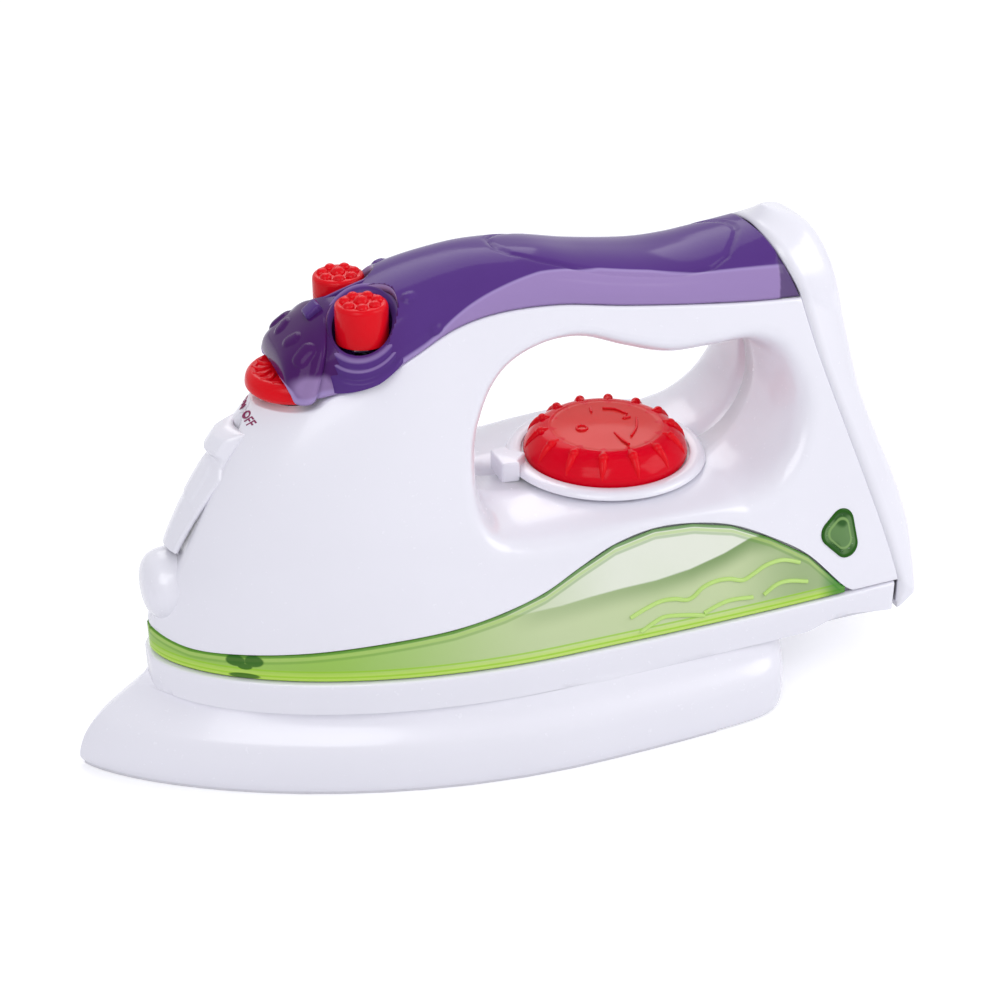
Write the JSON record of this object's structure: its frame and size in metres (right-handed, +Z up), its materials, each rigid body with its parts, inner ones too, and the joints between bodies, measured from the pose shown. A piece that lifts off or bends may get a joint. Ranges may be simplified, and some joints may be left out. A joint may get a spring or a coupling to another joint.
{
  "type": "toy iron",
  "caption": "Toy steam iron with an open handle, tinted grip cover and tank band, a click dial, push buttons and an ON/OFF lever.",
  "frame": {"origin": "middle of the iron's length and width, on the face it stands on", "axes": "+X from the nose to the heel, +Y to the right-hand side seen from the heel looking towards the nose, +Z up"},
  "size_m": [0.2061, 0.088, 0.117],
  "materials": {
    "body_shell": "glossy moulded shell, faint lavender white",
    "heel_shell": "glossy moulded shell, white",
    "base_shell": "glossy moulded shell, white",
    "sole_plastic": "smooth moulded plate, pale grey white",
    "nozzle_plastic": "glossy white",
    "trim_plastic": "glossy white",
    "bezel_plastic": "glossy white",
    "tinted_purple": "clear tinted plastic over a dark inside, polished",
    "tinted_green": "clear tinted plastic, polished",
    "tinted_red": "clear tinted plastic, polished",
    "red_plastic": "glossy red",
    "lens_green": "clear tinted plastic, polished",
    "cream_plastic": "moulded, natural",
    "switch_plastic": "moulded",
    "dark_plastic": "moulded",
    "board_green": "coated board",
    "lamp_plastic": "cast resin",
    "cell_wrap": "plain printed sleeve",
    "speaker_frame": "pressed frame and cone",
    "screw_steel": "plated",
    "spring_steel": "plated"
  },
  "bodies": {
    "iron": {"body_left": "body_shell", "body_right": "body_shell", "handle_cover": "tinted_purple", "rear_cover": "heel_shell", "water_tank": "tinted_green", "base_skirt": "base_shell", "sole_plate": "sole_plastic", "spray_nozzle": "nozzle_plastic", "filler_trim": "trim_plastic", "dial_bezel": "bezel_plastic", "click_spring": "spring_steel", "steam_spring": "spring_steel", "spray_spring": "spring_steel", "lever_screw": "screw_steel", "power_switch": "switch_plastic", "button_board": "board_green", "tact_switches": "switch_plastic", "main_board": "board_green", "sound_chip": "dark_plastic", "lamp_board": "board_green", "indicator_lamps": "lamp_plastic", "lens_left": "lens_green", "lens_right": "lens_green", "battery_door": "sole_plastic", "battery_screw": "screw_steel", "batteries": "cell_wrap", "battery_contacts": "spring_steel", "battery_springs": "spring_steel", "speaker": "speaker_frame", "body_screws": "screw_steel", "base_screws": "screw_steel", "sole_screws": "screw_steel", "board_screws": "screw_steel"},
    "dial": {"dial_knob": "tinted_red", "click_wheel": "cream_plastic", "dial_screw": "screw_steel"},
    "steam_push": {"steam_button": "red_plastic"},
    "spray_push": {"spray_button": "red_plastic"},
    "lever": {"switch_lever": "red_plastic"},
    "slider": {"switch_slider": "dark_plastic"}
  },
  "joints": [
    {"name": "dial_turn", "type": "hinge", "parent": "iron", "child": "dial", "pos_m": [0.03049, 0, 0.05728], "axis": [0, 0, 1], "continuous": true},
    {"name": "steam_press", "type": "slide", "parent": "iron", "child": "steam_push", "axis": [0, 0, -1], "range_m": [0, 0.0025], "stiffness_N_per_m": 600, "springref_m": -0.001, "deforming": ["steam_spring"]},
    {"name": "spray_press", "type": "slide", "parent": "iron", "child": "spray_push", "axis": [0, 0, -1], "range_m": [0, 0.0025], "stiffness_N_per_m": 600, "springref_m": -0.001, "deforming": ["spray_spring"]},
    {"name": "lever_turn", "type": "hinge", "parent": "iron", "child": "lever", "pos_m": [-0.04563, 0, 0.08941], "axis": [0, 0, 1], "range_deg": [-15, 15]},
    {"name": "slider_slide", "type": "slide", "parent": "iron", "child": "slider", "axis": [0, 1, 0], "range_m": [-0.0012, 0.0012]}
  ],
  "couplings": [
    {"joint": "slider_slide", "follows": "lever_turn", "m_per_rad": 0.004032}
  ]
}
